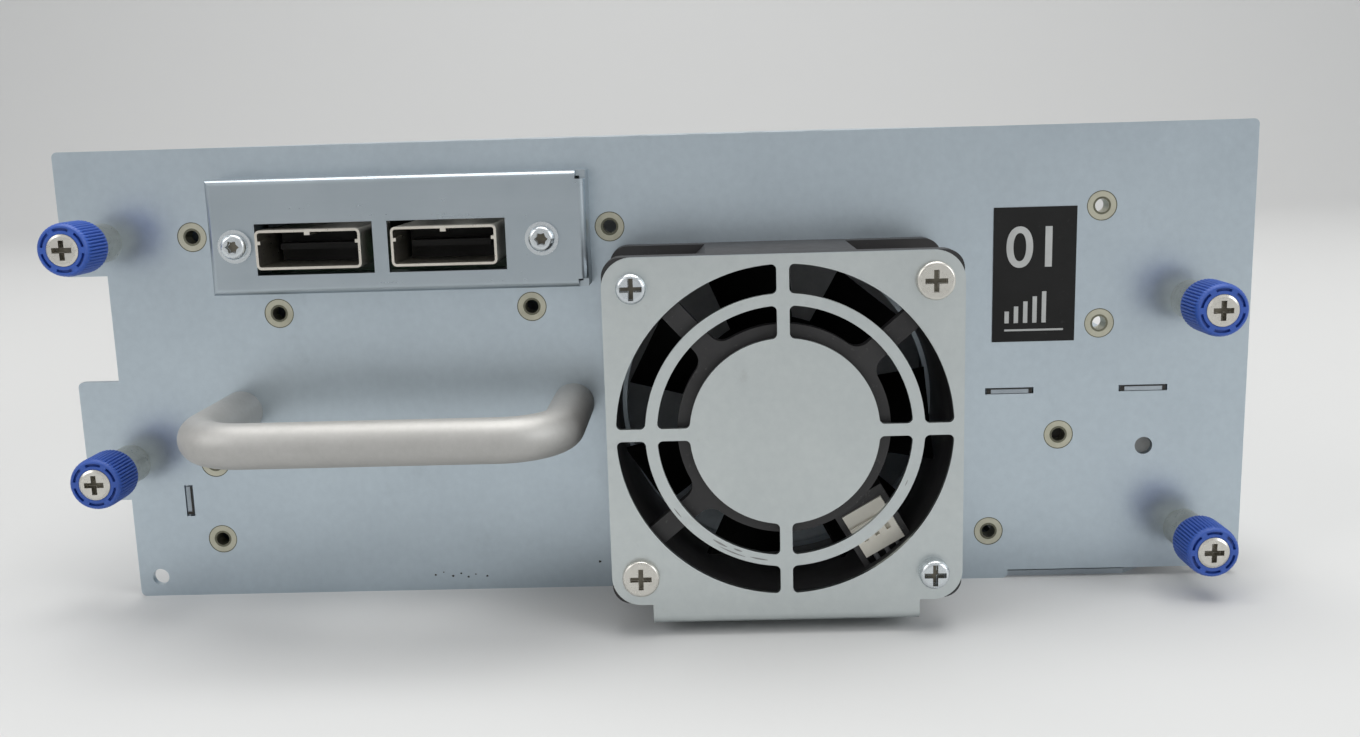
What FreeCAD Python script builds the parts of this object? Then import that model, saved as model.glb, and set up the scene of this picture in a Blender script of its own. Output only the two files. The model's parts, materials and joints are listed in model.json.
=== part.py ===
import FreeCAD, Part
import math
import os
import Sketcher

# Tape drive module: a sheet-metal sled with a rear panel, a cooling fan behind a guard,
# a pair of sockets in a cover, a bow handle, captive thumbscrews and a tape drive.
# X runs to the right seen from the panel's outer side, Y from the panel into the module,
# Z up.  Each node is modelled from the panel's outer face (Y = 0), its main left edge
# (X = 0) and its lower edge (Z = 0), and is then moved so the box's centre is the origin.

os.makedirs("parts", exist_ok=True)
doc = FreeCAD.newDocument("tape_drive_module")
V = FreeCAD.Vector

# ---------------------------------------------------------------- driving dimensions
SIZES = {
    # rear panel and its sheet
    "panel_right": 211.3,
    "panel_top": 85.4,
    "panel_sheet": 1.2,
    "panel_corner": 1.0,
    "ear_left": -8.0,
    "ear_low_left": -7.8,
    "upper_ear_bottom": 62.5,
    "lower_ear_top": 42.5,
    "lower_ear_bottom": 19.4,
    "step_start": 167.7,
    "step_rise": 1.6,
    # fits
    "fit_play": 0.05,
    "sheet_play": 0.2,
    "screw_play": 0.2,
    # clinch nuts
    "nut_bore": 1.25,
    "nut_shank": 2.73,
    "nut_collar": 3.15,
    "nut_depth": 2.2,
    # label
    "label_left": 164.0,
    "label_right": 179.1,
    "label_bottom": 45.9,
    "label_top": 70.7,
    "label_thick": 0.25,
    # handle
    "handle_left": 22.9,
    "handle_right": 85.8,
    "handle_level": 36.2,
    "handle_reach": 28.6,
    "handle_bar": 3.9,
    "handle_bend": 10.0,
    "handle_tap": 1.65,
    # connector cover and sockets
    "cover_left": 22.4,
    "cover_right": 90.2,
    "cover_bottom": 59.1,
    "cover_top": 79.8,
    "cover_depth": 8.0,
    "cover_sheet": 1.0,
    "cover_bend": 1.2,
    "cut_wide": 21.1,
    "cut_tall": 9.2,
    "cut_low": 62.65,
    "cut_left_mid": 41.5,
    "cut_right_mid": 65.25,
    "cover_screw_left": 27.4,
    "cover_screw_right": 82.3,
    "cover_screw_level": 68.0,
    "shell_wide": 18.7,
    "shell_tall": 7.0,
    "shell_low": 63.9,
    "shell_front": -10.8,
    "shell_back": 12.0,
    "shell_wall": 0.45,
    "shell_corner": 0.9,
    "tongue_front": -3.5,
    "board_thick": 1.6,
    # fan and guard
    "fan_x": 123.85,
    "fan_z": 35.8,
    "fan_side": 60.0,
    "fan_depth": 25.0,
    "fan_flange": 3.5,
    "fan_corner": 3.2,
    "fan_bore": 28.8,
    "fan_flat": 12.7,
    "fan_hole_half": 25.0,
    "fan_hole": 2.2,
    "hub_base": 18.1,
    "hub_sink": 1.4,
    "hub_thick": 2.2,
    "strut_wide": 3.7,
    "strut_blend": 2.6,
    "shaft": 1.5,
    "bearing_wall": 3.4,
    "rotor_cup": 16.6,
    "rotor_wall": 1.0,
    "rotor_back": -3.0,
    "guard_sheet": 0.9,
    "guard_corner": 5.0,
    "guard_disc": 16.0,
    "guard_ring_in": 21.5,
    "guard_ring_out": 23.5,
    "guard_hole": 28.4,
    "guard_spoke": 2.1,
    "guard_tab_left": 100.8,
    "guard_tab_right": 146.6,
    "guard_tab_low": 2.1,
    "plug_x": 139.1,
    "plug_z": 17.85,
    "plug_wide": 7.6,
    "plug_long": 8.4,
    "plug_front": -22.6,
    "plug_back": -19.4,
    "plug_turn": 30.0,
    "lead_bar": 0.45,
    "lead_pitch": 2.2,
    "lead_drop": 8.2,
    # thumbscrews
    "knob": 4.75,
    "knob_front": -15.5,
    "knob_back": -7.8,
    "knob_cavity": 4.0,
    "knob_cavity_top": -12.6,
    "knob_head": 2.8,
    "thumb_shaft": 2.0,
    "thumb_tip": 0.6,
    "ferrule": 3.6,
    "ferrule_front": -8.4,
    "ferrule_chamber": 3.1,
    "ferrule_floor": -1.2,
    "ferrule_shank": 3.4,
    "spring_mean": 2.55,
    "spring_wire": 0.3,
    # sled
    "tray_left": 10.6,
    "tray_right": 162.0,
    "tray_sheet": 1.2,
    "tray_back": 250.0,
    "lid_flange": 1.0,
    "bracket_right": 206.0,
    "bracket_back": 120.0,
    "bracket_sheet": 1.0,
    "bracket_roof": 36.1,
    # drive
    "drive_left": 13.2,
    "drive_right": 159.2,
    "drive_front": 52.0,
    "drive_gap": 0.5,
    "drive_lid": 0.8,
    "bezel_thick": 6.0,
    "bay_left": 32.4,
    "bay_right": 140.0,
    "bay_roof": 4.4,
    "bay_tall": 29.5,
    "bay_deep": 112.0,
    "slot_left": 33.7,
    "slot_right": 138.7,
    "slot_step": 0.5,
    "slot_brow": 5.5,
    "door_thick": 1.8,
    "door_axis_drop": 2.5,
    "door_pin": 1.0,
}


class Dim:
    """A size known both as a number and as the expression that drives it."""

    def __init__(self, value, text):
        self.value = float(value)
        self.text = text

    def __add__(self, other):
        other = dim(other)
        return Dim(self.value + other.value, "(%s + %s)" % (self.text, other.text))

    def __sub__(self, other):
        other = dim(other)
        return Dim(self.value - other.value, "(%s - %s)" % (self.text, other.text))

    def __mul__(self, other):
        other = dim(other)
        return Dim(self.value * other.value, "(%s * %s)" % (self.text, other.text))

    def __truediv__(self, other):
        other = dim(other)
        return Dim(self.value / other.value, "(%s / %s)" % (self.text, other.text))

    def __radd__(self, other):
        return dim(other) + self

    def __rsub__(self, other):
        return dim(other) - self

    def __rmul__(self, other):
        return dim(other) * self

    def __neg__(self):
        return dim(0) - self


def dim(number):
    """Return a plain number as a Dim; leave a Dim as it is."""
    if isinstance(number, Dim):
        return number
    return Dim(number, "(%s)" % repr(round(float(number), 5)))


class Sizes:
    """Holds one Dim per row of the sheet, under the row's own name."""


sheet = doc.addObject("Spreadsheet::Sheet", "dims")
d = Sizes()
for row, (name, value) in enumerate(SIZES.items(), 1):
    sheet.set("A%d" % row, name)
    sheet.set("B%d" % row, str(value))
    sheet.setAlias("B%d" % row, name)
    setattr(d, name, Dim(value, "dims." + name))
doc.recompute()

# the whole box, for the origin at the centre of its underside
REACH = -(d.handle_reach + d.handle_bar)
BACK = d.tray_back + d.bezel_thick
SHIFT = (-(d.panel_right + d.ear_left) / 2, -(REACH + BACK) / 2, dim(0))

nodes = []


# ---------------------------------------------------------------- building blocks
def place(obj, x=0, y=0, z=0):
    """Bind an object's position: its own offset plus the shift of the whole module."""
    for axis, offset, shift in zip("xyz", (x, y, z), SHIFT):
        obj.setExpression("Placement.Base." + axis, (dim(offset) + shift).text)


def new_body(label, x=0, y=0, z=0):
    body = doc.addObject("PartDesign::Body", label)
    body.Label = label
    body.AllowCompound = True
    place(body, x, y, z)
    nodes.append(body)
    return body


# sketch normals: XY looks along +Z, YZ along +X, XZ along -Y
NORMAL = {"XY": 1, "YZ": 1, "XZ": -1}


def new_sketch(body, plane, level=0):
    """A sketch on an origin plane of the body, moved along that plane's axis."""
    sk = body.newObject("Sketcher::SketchObject", "outline")
    base = [f for f in body.Origin.OriginFeatures if f.Role == plane + "_Plane"][0]
    sk.AttachmentSupport = (base, [""])
    sk.MapMode = "FlatFace"
    offset = dim(level) * NORMAL[plane]
    sk.setExpression("AttachmentOffset.Base.z", offset.text)
    return sk


def fix_point(sk, item, point, x, y):
    """Tie one point of a sketch item to its place from the sketch's origin."""
    for kind, value in (("DistanceX", dim(x)), ("DistanceY", dim(y))):
        index = sk.addConstraint(Sketcher.Constraint(kind, -1, 1, item, point, value.value))
        sk.setExpression("Constraints[%d]" % index, value.text)


def fix_radius(sk, item, r):
    index = sk.addConstraint(Sketcher.Constraint("Radius", item, dim(r).value))
    sk.setExpression("Constraints[%d]" % index, dim(r).text)


def polygon(sk, points):
    """A closed outline through the given points."""
    points = [(dim(x), dim(y)) for x, y in points]
    first = sk.GeometryCount
    count = len(points)
    for (ax, ay), (bx, by) in zip(points, points[1:] + points[:1]):
        start = V(ax.value, ay.value, 0)
        end = V(bx.value, by.value, 0)
        sk.addGeometry(Part.LineSegment(start, end))
    for i in range(count):
        following = first + (i + 1) % count
        sk.addConstraint(Sketcher.Constraint("Coincident", first + i, 2, following, 1))
    for i, (x, y) in enumerate(points):
        fix_point(sk, first + i, 1, x, y)


def rectangle(sk, x0, x1, y0, y1):
    polygon(sk, [(x0, y0), (x1, y0), (x1, y1), (x0, y1)])


def turned_rectangle(sk, cx, cy, turn, u0, u1, v0, v1):
    """A rectangle in axes turned by an angle in degrees about (cx, cy)."""
    cos = Dim(math.cos(math.radians(turn.value)), "cos(%s)" % turn.text)
    sin = Dim(math.sin(math.radians(turn.value)), "sin(%s)" % turn.text)
    corners = [(u0, v0), (u1, v0), (u1, v1), (u0, v1)]
    polygon(sk, [(cx + cos * u - sin * v, cy + sin * u + cos * v) for u, v in corners])


def circle(sk, x, y, r):
    x, y, r = dim(x), dim(y), dim(r)
    item = sk.addGeometry(Part.Circle(V(x.value, y.value, 0), V(0, 0, 1), r.value))
    fix_point(sk, item, 3, x, y)
    fix_radius(sk, item, r)


def round_rectangle(sk, x0, x1, y0, y1, r):
    """A rectangle with equal round corners, as lines and tangent arcs."""
    x0, x1, y0, y1, r = dim(x0), dim(x1), dim(y0), dim(y1), dim(r)
    ax, bx, ay, by, q = x0.value, x1.value, y0.value, y1.value, r.value
    first = sk.GeometryCount
    lines = [((ax + q, ay), (bx - q, ay)), ((bx, ay + q), (bx, by - q)),
             ((bx - q, by), (ax + q, by)), ((ax, by - q), (ax, ay + q))]
    centres = [(bx - q, ay + q), (bx - q, by - q), (ax + q, by - q), (ax + q, ay + q)]
    for i, (start, end) in enumerate(lines):
        sk.addGeometry(Part.LineSegment(V(*start, 0), V(*end, 0)))
        ring = Part.Circle(V(*centres[i], 0), V(0, 0, 1), q)
        turn = math.radians(-90 + 90 * i)
        sk.addGeometry(Part.ArcOfCircle(ring, turn, turn + math.pi / 2))
    for i in range(4):
        line, arc = first + 2 * i, first + 2 * i + 1
        after = first + (2 * i + 2) % 8
        sk.addConstraint(Sketcher.Constraint("Tangent", line, 2, arc, 1))
        sk.addConstraint(Sketcher.Constraint("Tangent", arc, 2, after, 1))
        flat = "Horizontal" if i % 2 == 0 else "Vertical"
        sk.addConstraint(Sketcher.Constraint(flat, line))
        if i:
            sk.addConstraint(Sketcher.Constraint("Equal", first + 1, arc))
    fix_radius(sk, first + 1, r)
    ends = (("DistanceY", 0, y0), ("DistanceX", 2, x1), ("DistanceY", 4, y1), ("DistanceX", 6, x0))
    for kind, line, value in ends:
        constraint = Sketcher.Constraint(kind, -1, 1, first + line, 1, value.value)
        index = sk.addConstraint(constraint)
        sk.setExpression("Constraints[%d]" % index, value.text)


def add(body, plane, start, end, draw):
    """Pad an outline from one level to another along the plane's axis."""
    sk = new_sketch(body, plane, start)
    draw(sk)
    pad = body.newObject("PartDesign::Pad", "pad")
    pad.Profile = sk
    pad.setExpression("Length", (dim(end) - dim(start)).text)
    pad.Reversed = NORMAL[plane] < 0
    body.Tip = pad
    return pad


def cut(body, plane, start, end, draw):
    """Pocket an outline from one level to another along the plane's axis."""
    sk = new_sketch(body, plane, start)
    draw(sk)
    pocket = body.newObject("PartDesign::Pocket", "pocket")
    pocket.Profile = sk
    pocket.setExpression("Length", (dim(end) - dim(start)).text)
    pocket.Reversed = NORMAL[plane] > 0
    body.Tip = pocket
    return pocket


def repeat(body, feature, role, length, count):
    """Repeat a feature in a straight row along one axis of the body."""
    doc.recompute()
    row = body.newObject("PartDesign::LinearPattern", "row")
    row.Originals = [feature]
    axis = [f for f in body.Origin.OriginFeatures if f.Role == role][0]
    row.Direction = (axis, [""])
    row.Length = length
    row.Occurrences = count
    body.Tip = row
    return row


def turn_up(body, outline, plane="XY"):
    """Revolve an outline of (radius, length) points about the sketch's upright axis."""
    sk = new_sketch(body, plane)
    polygon(sk, outline)
    spin = body.newObject("PartDesign::Revolution", "turned")
    spin.Profile = sk
    spin.ReferenceAxis = (sk, ["V_Axis"])
    spin.Angle = 360
    body.Tip = spin
    return spin


def round_edges(body, size, wanted, bevel=False):
    """Fillet or chamfer the edges of the body that a test picks out."""
    doc.recompute()
    source = body.Tip
    edges = source.Shape.Edges
    picked = ["Edge%d" % (i + 1) for i, edge in enumerate(edges) if wanted(edge)]
    kind = "PartDesign::Chamfer" if bevel else "PartDesign::Fillet"
    blend = body.newObject(kind, "blend")
    blend.Base = (source, picked)
    name = "Size" if bevel else "Radius"
    blend.setExpression(name, dim(size).text)
    body.Tip = blend
    return blend


def runs_along(edge, axis):
    """True for a straight edge along the given axis (0 X, 1 Y, 2 Z)."""
    if edge.Curve.TypeId != "Part::GeomLine":
        return False
    step = edge.Vertexes[-1].Point - edge.Vertexes[0].Point
    return abs(abs(step[axis]) - step.Length) < 1e-6


def lies_at(edge, axis, level):
    """True when the whole edge lies at one level on the given axis."""
    box = edge.BoundBox
    low = (box.XMin, box.YMin, box.ZMin)[axis]
    high = (box.XMax, box.YMax, box.ZMax)[axis]
    return abs(low - level) < 0.01 and abs(high - level) < 0.01


def cross(sk, x, y, arm, width):
    """The outline of a cross recess."""
    x, y, a, w = dim(x), dim(y), dim(arm), dim(width) / 2
    ring = [(w, -a), (w, -w), (a, -w), (a, w), (w, w), (w, a),
            (-w, a), (-w, w), (-a, w), (-a, -w), (-w, -w), (-w, -a)]
    polygon(sk, [(x + u, y + v) for u, v in ring])


def star(sk, x, y, r):
    """The outline of a six-lobe recess."""
    x, y = dim(x), dim(y)
    points = []
    for i in range(12):
        reach = r if i % 2 == 0 else r * 0.72
        turn = math.radians(30 * i)
        points.append((x + reach * math.cos(turn), y + reach * math.sin(turn)))
    polygon(sk, points)


def screws(label, plane, centres, head, shank, recess, dome=0.0, bevel=False):
    """A group of like screws.

    head is (outer level, seat level, radius), shank (end level, radius), recess a
    function drawing one recess with its depth, dome the rounding of the head's rim,
    which bevel makes a plain chamfer.
    """
    body = new_body(label)
    outer, seat, head_r = head
    end, shank_r = shank
    step = 1 if dim(seat).value > dim(outer).value else -1
    low, high = (outer, seat) if step > 0 else (seat, outer)

    def heads(sk):
        for x, y in centres:
            circle(sk, x, y, head_r)

    def shanks(sk):
        for x, y in centres:
            circle(sk, x, y, shank_r)

    add(body, plane, low, high, heads)
    if dome:
        axis = {"YZ": 0, "XZ": 1, "XY": 2}[plane]
        level = dim(outer).value
        round_edges(body, dome, lambda edge: lies_at(edge, axis, level), bevel)
    low, high = (seat, end) if step > 0 else (end, seat)
    add(body, plane, low, high, shanks)
    draw, depth = recess

    def recesses(sk):
        for x, y in centres:
            draw(sk, x, y)

    inner = dim(outer) + step * depth
    low, high = (outer, inner) if step > 0 else (inner, outer)
    cut(body, plane, low, high, recesses)
    return body


# ---------------------------------------------------------------- shared places
NUT_PLACES = [(16.5, 69.3), (31.5, 54.7), (78.8, 54.8), (93.8, 69.2), (16.9, 11.2),
              (16.8, 26.3), (183.6, 70.6), (183.7, 49.0), (176.7, 28.0), (163.9, 9.4)]
THUMB_PLACES = {"upper_left": (-0.2, 68.7), "lower_left": (0.8, 26.6),
                "upper_right": (200.2, 53.0), "lower_right": (200.6, 9.4)}
half = d.fan_hole_half
FAN_SCREWS = [(d.fan_x + i * half, d.fan_z + j * half) for i in (-1, 1) for j in (-1, 1)]
PAN_PLACES = [FAN_SCREWS[1], FAN_SCREWS[2]]
FLAT_PLACES = [FAN_SCREWS[0], FAN_SCREWS[3]]
HANDLE_FEET = [(d.handle_left, d.handle_level), (d.handle_right, d.handle_level)]
COVER_SCREWS = [(d.cover_screw_left, d.cover_screw_level),
                (d.cover_screw_right, d.cover_screw_level)]
TRAY_IN_LEFT = d.tray_left + d.tray_sheet
TRAY_IN_RIGHT = d.tray_right - d.tray_sheet
LID_LOW = d.panel_top - d.panel_sheet
BRACKET_TABS = [(163.2, 171.6), (188.0, 196.4)]
LEAD_X = d.plug_x + d.lead_drop * 0.5
LEAD_Z = d.plug_z - d.lead_drop * 0.866


def nut_holes(sk, places, r):
    for x, y in places:
        circle(sk, x, y, r)


def lead_slot(sk):
    turned_rectangle(sk, LEAD_X, LEAD_Z, d.plug_turn, dim(-2.9), dim(2.9), dim(-0.9), dim(0.9))


# ---------------------------------------------------------------- rear panel
panel = new_body("rear_panel")
add(panel, "XZ", 0, d.panel_sheet, lambda sk: polygon(sk, [
    (0, 0), (d.step_start, 0), (d.step_start, d.step_rise), (d.panel_right, d.step_rise),
    (d.panel_right, d.panel_top), (d.ear_left, d.panel_top),
    (d.ear_left, d.upper_ear_bottom), (0, d.upper_ear_bottom), (0, d.lower_ear_top),
    (d.ear_low_left, d.lower_ear_top), (d.ear_low_left, d.lower_ear_bottom),
    (0, d.lower_ear_bottom)]))
INNER_CORNERS = [(0, 62.5), (0, 42.5), (0, 19.4), (167.7, 1.6)]


def outer_corner(edge):
    point = edge.Vertexes[0].Point
    inner = [abs(point.x - x) + abs(point.z - z) < 0.1 for x, z in INNER_CORNERS]
    return runs_along(edge, 1) and not any(inner)


round_edges(panel, d.panel_corner, outer_corner)


def panel_windows(sk):
    nut_holes(sk, NUT_PLACES, d.nut_shank + 0.02)
    nut_holes(sk, FAN_SCREWS, d.nut_shank + 0.02)
    nut_holes(sk, HANDLE_FEET, 2.1)
    nut_holes(sk, THUMB_PLACES.values(), d.ferrule_shank + 0.02)
    circle(sk, 192.7, 25.5, 1.65)
    circle(sk, 4.1, 3.8, 1.6)
    gap = d.sheet_play
    rectangle(sk, d.tray_left - gap, TRAY_IN_LEFT + gap, 15.9, 22.0)
    for left, right in BRACKET_TABS:
        low = d.bracket_roof - 0.1
        rectangle(sk, left - 0.3, right + 0.3, low, low + d.bracket_sheet + gap)
    rectangle(sk, 25.0, 87.0, d.cover_bottom + 1.5, d.cover_top - 1.4)
    lead_slot(sk)


cut(panel, "XZ", 0, d.panel_sheet, panel_windows)
cut(panel, "XZ", 0, d.panel_sheet, lambda sk: circle(sk, d.fan_x, d.fan_z, 28.0))


def clinch_nuts(label, places, bore):
    """Flush clinch nuts: a shank in the panel and a collar behind it."""
    body = new_body(label)

    def ring(sk, r):
        for x, y in places:
            circle(sk, x, y, r)
            circle(sk, x, y, bore)

    seat = d.panel_sheet
    add(body, "XZ", 0.03, seat, lambda sk: ring(sk, d.nut_shank))
    add(body, "XZ", seat, seat + d.nut_depth, lambda sk: ring(sk, d.nut_collar))
    return body


clinch_nuts("clinch_nuts", NUT_PLACES, d.nut_bore)
clinch_nuts("fan_nuts", FAN_SCREWS, d.shaft + d.fit_play)

label = new_body("label_plate")
add(label, "XZ", -d.label_thick, 0, lambda sk: rectangle(
    sk, d.label_left, d.label_right, d.label_bottom, d.label_top))

# ---------------------------------------------------------------- bow handle
handle = new_body("handle")
spine = new_sketch(handle, "XY", d.handle_level)
corner = d.handle_bend.value
left, right, reach = d.handle_left, d.handle_right, -d.handle_reach
a, b, c = left.value, right.value, reach.value
spine.addGeometry(Part.LineSegment(V(a, 0, 0), V(a, c + corner, 0)))
ring = Part.Circle(V(a + corner, c + corner, 0), V(0, 0, 1), corner)
spine.addGeometry(Part.ArcOfCircle(ring, math.pi, 1.5 * math.pi))
spine.addGeometry(Part.LineSegment(V(a + corner, c, 0), V(b - corner, c, 0)))
ring = Part.Circle(V(b - corner, c + corner, 0), V(0, 0, 1), corner)
spine.addGeometry(Part.ArcOfCircle(ring, 1.5 * math.pi, 2 * math.pi))
spine.addGeometry(Part.LineSegment(V(b, c + corner, 0), V(b, 0, 0)))
for first, first_end, second, second_end in ((0, 2, 1, 1), (1, 2, 2, 1), (2, 2, 3, 1), (3, 2, 4, 1)):
    joint = Sketcher.Constraint("Tangent", first, first_end, second, second_end)
    spine.addConstraint(joint)
spine.addConstraint(Sketcher.Constraint("Equal", 1, 3))
fix_radius(spine, 1, d.handle_bend)
fix_point(spine, 0, 1, left, 0)
fix_point(spine, 4, 2, right, 0)
index = spine.addConstraint(Sketcher.Constraint("DistanceY", -1, 1, 2, 1, c))
spine.setExpression("Constraints[%d]" % index, reach.text)
spine.addConstraint(Sketcher.Constraint("Vertical", 0))
spine.addConstraint(Sketcher.Constraint("Vertical", 4))
section = new_sketch(handle, "XZ", 0)
circle(section, left, d.handle_level, d.handle_bar)
bow = handle.newObject("PartDesign::AdditivePipe", "bow")
bow.Profile = section
bow.Spine = (spine, [])
handle.Tip = bow
cut(handle, "XZ", -9.0, 0, lambda sk: nut_holes(sk, HANDLE_FEET, d.handle_tap))

seat = d.panel_sheet
screws("handle_screws", "XZ", HANDLE_FEET, (seat + 2.2, seat, 3.6),
       (-8.0, d.handle_tap - d.fit_play), (lambda sk, x, y: cross(sk, x, y, 1.7, 0.8), 1.2),
       0.8, True)

# ---------------------------------------------------------------- connector cover
CUT_MIDDLES = (d.cut_left_mid, d.cut_right_mid)


def cover_cuts(sk, extra=0):
    for middle in CUT_MIDDLES:
        side = d.cut_wide / 2 + extra
        rectangle(sk, middle - side, middle + side, d.cut_low - extra,
                  d.cut_low + d.cut_tall + extra)


cover = new_body("connector_cover")
add(cover, "XZ", -d.cover_depth, 0, lambda sk: rectangle(
    sk, d.cover_left, d.cover_right, d.cover_bottom, d.cover_top))
round_edges(cover, d.cover_bend, lambda edge: lies_at(edge, 1, -d.cover_depth.value))
wall = d.cover_sheet
cut(cover, "XZ", -d.cover_depth + wall, 0, lambda sk: rectangle(
    sk, d.cover_left + wall, d.cover_right - wall, d.cover_bottom + wall, d.cover_top - wall))
cut(cover, "XZ", -d.cover_depth, 0, cover_cuts)
cut(cover, "XZ", -d.cover_depth, 0, lambda sk: nut_holes(sk, COVER_SCREWS, 1.5 + d.screw_play))


def relief_notches(sk):
    side = d.cover_right - 1.7
    rectangle(sk, side, d.cover_right, d.cover_top - 1.5, d.cover_top)
    rectangle(sk, side, d.cover_right, d.cover_bottom, d.cover_bottom + 1.5)


cut(cover, "XZ", -d.cover_depth, -d.cover_depth + 1.8, relief_notches)

face = -d.cover_depth
cover_screw_body = screws(
    "cover_screws", "XZ", COVER_SCREWS, (face - 2.0, face - 0.7, 2.3), (face + 4.5, 1.5),
    (lambda sk, x, y: star(sk, x, y, 1.25), 1.1), 0.9)
add(cover_screw_body, "XZ", face - 0.7, face, lambda sk: nut_holes(sk, COVER_SCREWS, 3.0))

# the bracket behind the cover carries the socket board
bracket_front = face + wall
shelf_top = d.shell_low - d.board_thick
bracket = new_body("socket_bracket")
add(bracket, "XZ", bracket_front, bracket_front + 1.2, lambda sk: rectangle(
    sk, 23.8, 86.8, shelf_top - 1.0, 77.6))
add(bracket, "XY", shelf_top - 1.0, shelf_top, lambda sk: rectangle(
    sk, 25.6, 86.4, bracket_front, 44.0))
cut(bracket, "XZ", bracket_front, bracket_front + 1.2, lambda sk: rectangle(
    sk, 30.0, 77.4, shelf_top, 72.4))
add(bracket, "XZ", bracket_front + 1.2, bracket_front + 3.4,
    lambda sk: nut_holes(sk, COVER_SCREWS, 2.6))
cut(bracket, "XZ", bracket_front, bracket_front + 3.4,
    lambda sk: nut_holes(sk, COVER_SCREWS, 1.5 + d.fit_play))

board = new_body("socket_board")
add(board, "XY", shelf_top, d.shell_low, lambda sk: rectangle(sk, 30.4, 77.0, 1.0, 45.0))

board_plug = new_body("board_plug")
add(board_plug, "XZ", 37.0, 46.0, lambda sk: rectangle(sk, 42.0, 66.0, d.shell_low, 70.0))
cut(board_plug, "XZ", 41.0, 46.0, lambda sk: rectangle(sk, 43.5, 64.5, 65.4, 68.6))


def sas_socket(side, middle):
    """A shell with rounded corners and key bumps, and the contact block inside it."""
    wide = d.shell_wide / 2
    low, high = d.shell_low, d.shell_low + d.shell_tall
    skin = d.shell_wall
    shell = new_body("socket_shell_" + side)
    add(shell, "XZ", d.shell_front, d.shell_back, lambda sk: round_rectangle(
        sk, middle - wide, middle + wide, low, high, d.shell_corner))
    cut(shell, "XZ", d.shell_front, d.shell_back, lambda sk: round_rectangle(
        sk, middle - wide + skin, middle + wide - skin, low + skin, high - skin,
        d.shell_corner - skin))

    def keys(sk):
        top = high - skin
        rectangle(sk, middle - 0.5, middle + 0.5, top - 0.55, top + 0.2)
        for sign in (-1, 1):
            inner = middle + sign * (wide - skin)
            rectangle(sk, inner - 0.5 * sign, inner + 0.2 * sign, top - 2.1, top - 1.5)

    add(shell, "XZ", d.shell_front, d.shell_front + 6.5, keys)
    block = new_body("socket_contacts_" + side)
    play = skin + 0.02
    add(block, "XZ", 1.5, d.shell_back - 0.5, lambda sk: rectangle(
        sk, middle - wide + 0.9, middle + wide - 0.9, low + play, high - play))
    centre = d.shell_low + d.shell_tall / 2
    add(block, "XZ", d.tongue_front, 1.5, lambda sk: rectangle(
        sk, middle - 7.2, middle + 7.2, centre - 0.55, centre + 0.55))


sas_socket("left", d.cut_left_mid - 0.3)
sas_socket("right", d.cut_right_mid)

# ---------------------------------------------------------------- cooling fan
fan_front = -d.fan_depth


def fan_square(sk):
    side = d.fan_side / 2
    round_rectangle(sk, d.fan_x - side, d.fan_x + side, d.fan_z - side, d.fan_z + side,
                    d.fan_corner)


def fan_circle(r):
    return lambda sk: circle(sk, d.fan_x, d.fan_z, r)


def fan_barrel(sk):
    """An octagon whose upright and level sides lie flush with the flanges."""
    near, far = d.fan_flat, d.fan_side / 2
    ring = [(near, -far), (far, -near), (far, near), (near, far),
            (-near, far), (-far, near), (-far, -near), (-near, -far)]
    polygon(sk, [(d.fan_x + x, d.fan_z + z) for x, z in ring])


fan = new_body("fan_frame")
add(fan, "XZ", fan_front, fan_front + d.fan_flange, fan_square)
add(fan, "XZ", -d.fan_flange, 0, fan_square)
add(fan, "XZ", fan_front, 0, fan_barrel)
cut(fan, "XZ", fan_front, 0, fan_circle(d.fan_bore))
hub_front = fan_front + d.hub_sink
hub_back = hub_front + d.hub_thick
for turn in (40.5, 132, 219.6):
    add(fan, "XZ", hub_front, hub_back, lambda sk: turned_rectangle(
        sk, d.fan_x, d.fan_z, dim(turn), dim(12), d.fan_bore + 0.5,
        -d.strut_wide / 2, d.strut_wide / 2))
add(fan, "XZ", hub_front, hub_back, fan_circle(d.hub_base))


def strut_root(edge):
    point = edge.Vertexes[0].Point
    away = math.hypot(point.x - d.fan_x.value, point.z - d.fan_z.value)
    return runs_along(edge, 1) and abs(away - d.hub_base.value) < 0.05


round_edges(fan, d.strut_blend, strut_root)


def holder(sk, half_wide, start, end):
    """A rectangle along the plug: half width across, start and end along its leads."""
    turned_rectangle(sk, d.plug_x, d.plug_z, d.plug_turn, -dim(half_wide), dim(half_wide),
                     -dim(end), -dim(start))


add(fan, "XZ", -22.2, d.plug_back + 1.0, lambda sk: holder(sk, 4.9, -6.0, 6.5))
cut(fan, "XZ", -22.2, d.plug_back, lambda sk: holder(
    sk, d.plug_wide / 2 + 0.05, -d.plug_long / 2 - 0.05, 9.6))
add(fan, "XZ", hub_back - 0.2, -6.0, fan_circle(d.bearing_wall))
cut(fan, "XZ", hub_back + 0.2, -6.0, fan_circle(d.shaft + d.fit_play))
cut(fan, "XZ", fan_front, 0, lambda sk: nut_holes(sk, FAN_SCREWS, d.fan_hole))
cut(fan, "XZ", -d.fan_flange, 0, lead_slot)

stator = new_body("fan_stator")


def stator_ring(sk):
    circle(sk, d.fan_x, d.fan_z, 12.5)
    circle(sk, d.fan_x, d.fan_z, d.bearing_wall + 0.02)


add(stator, "XZ", -18.5, -8.0, stator_ring)

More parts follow.
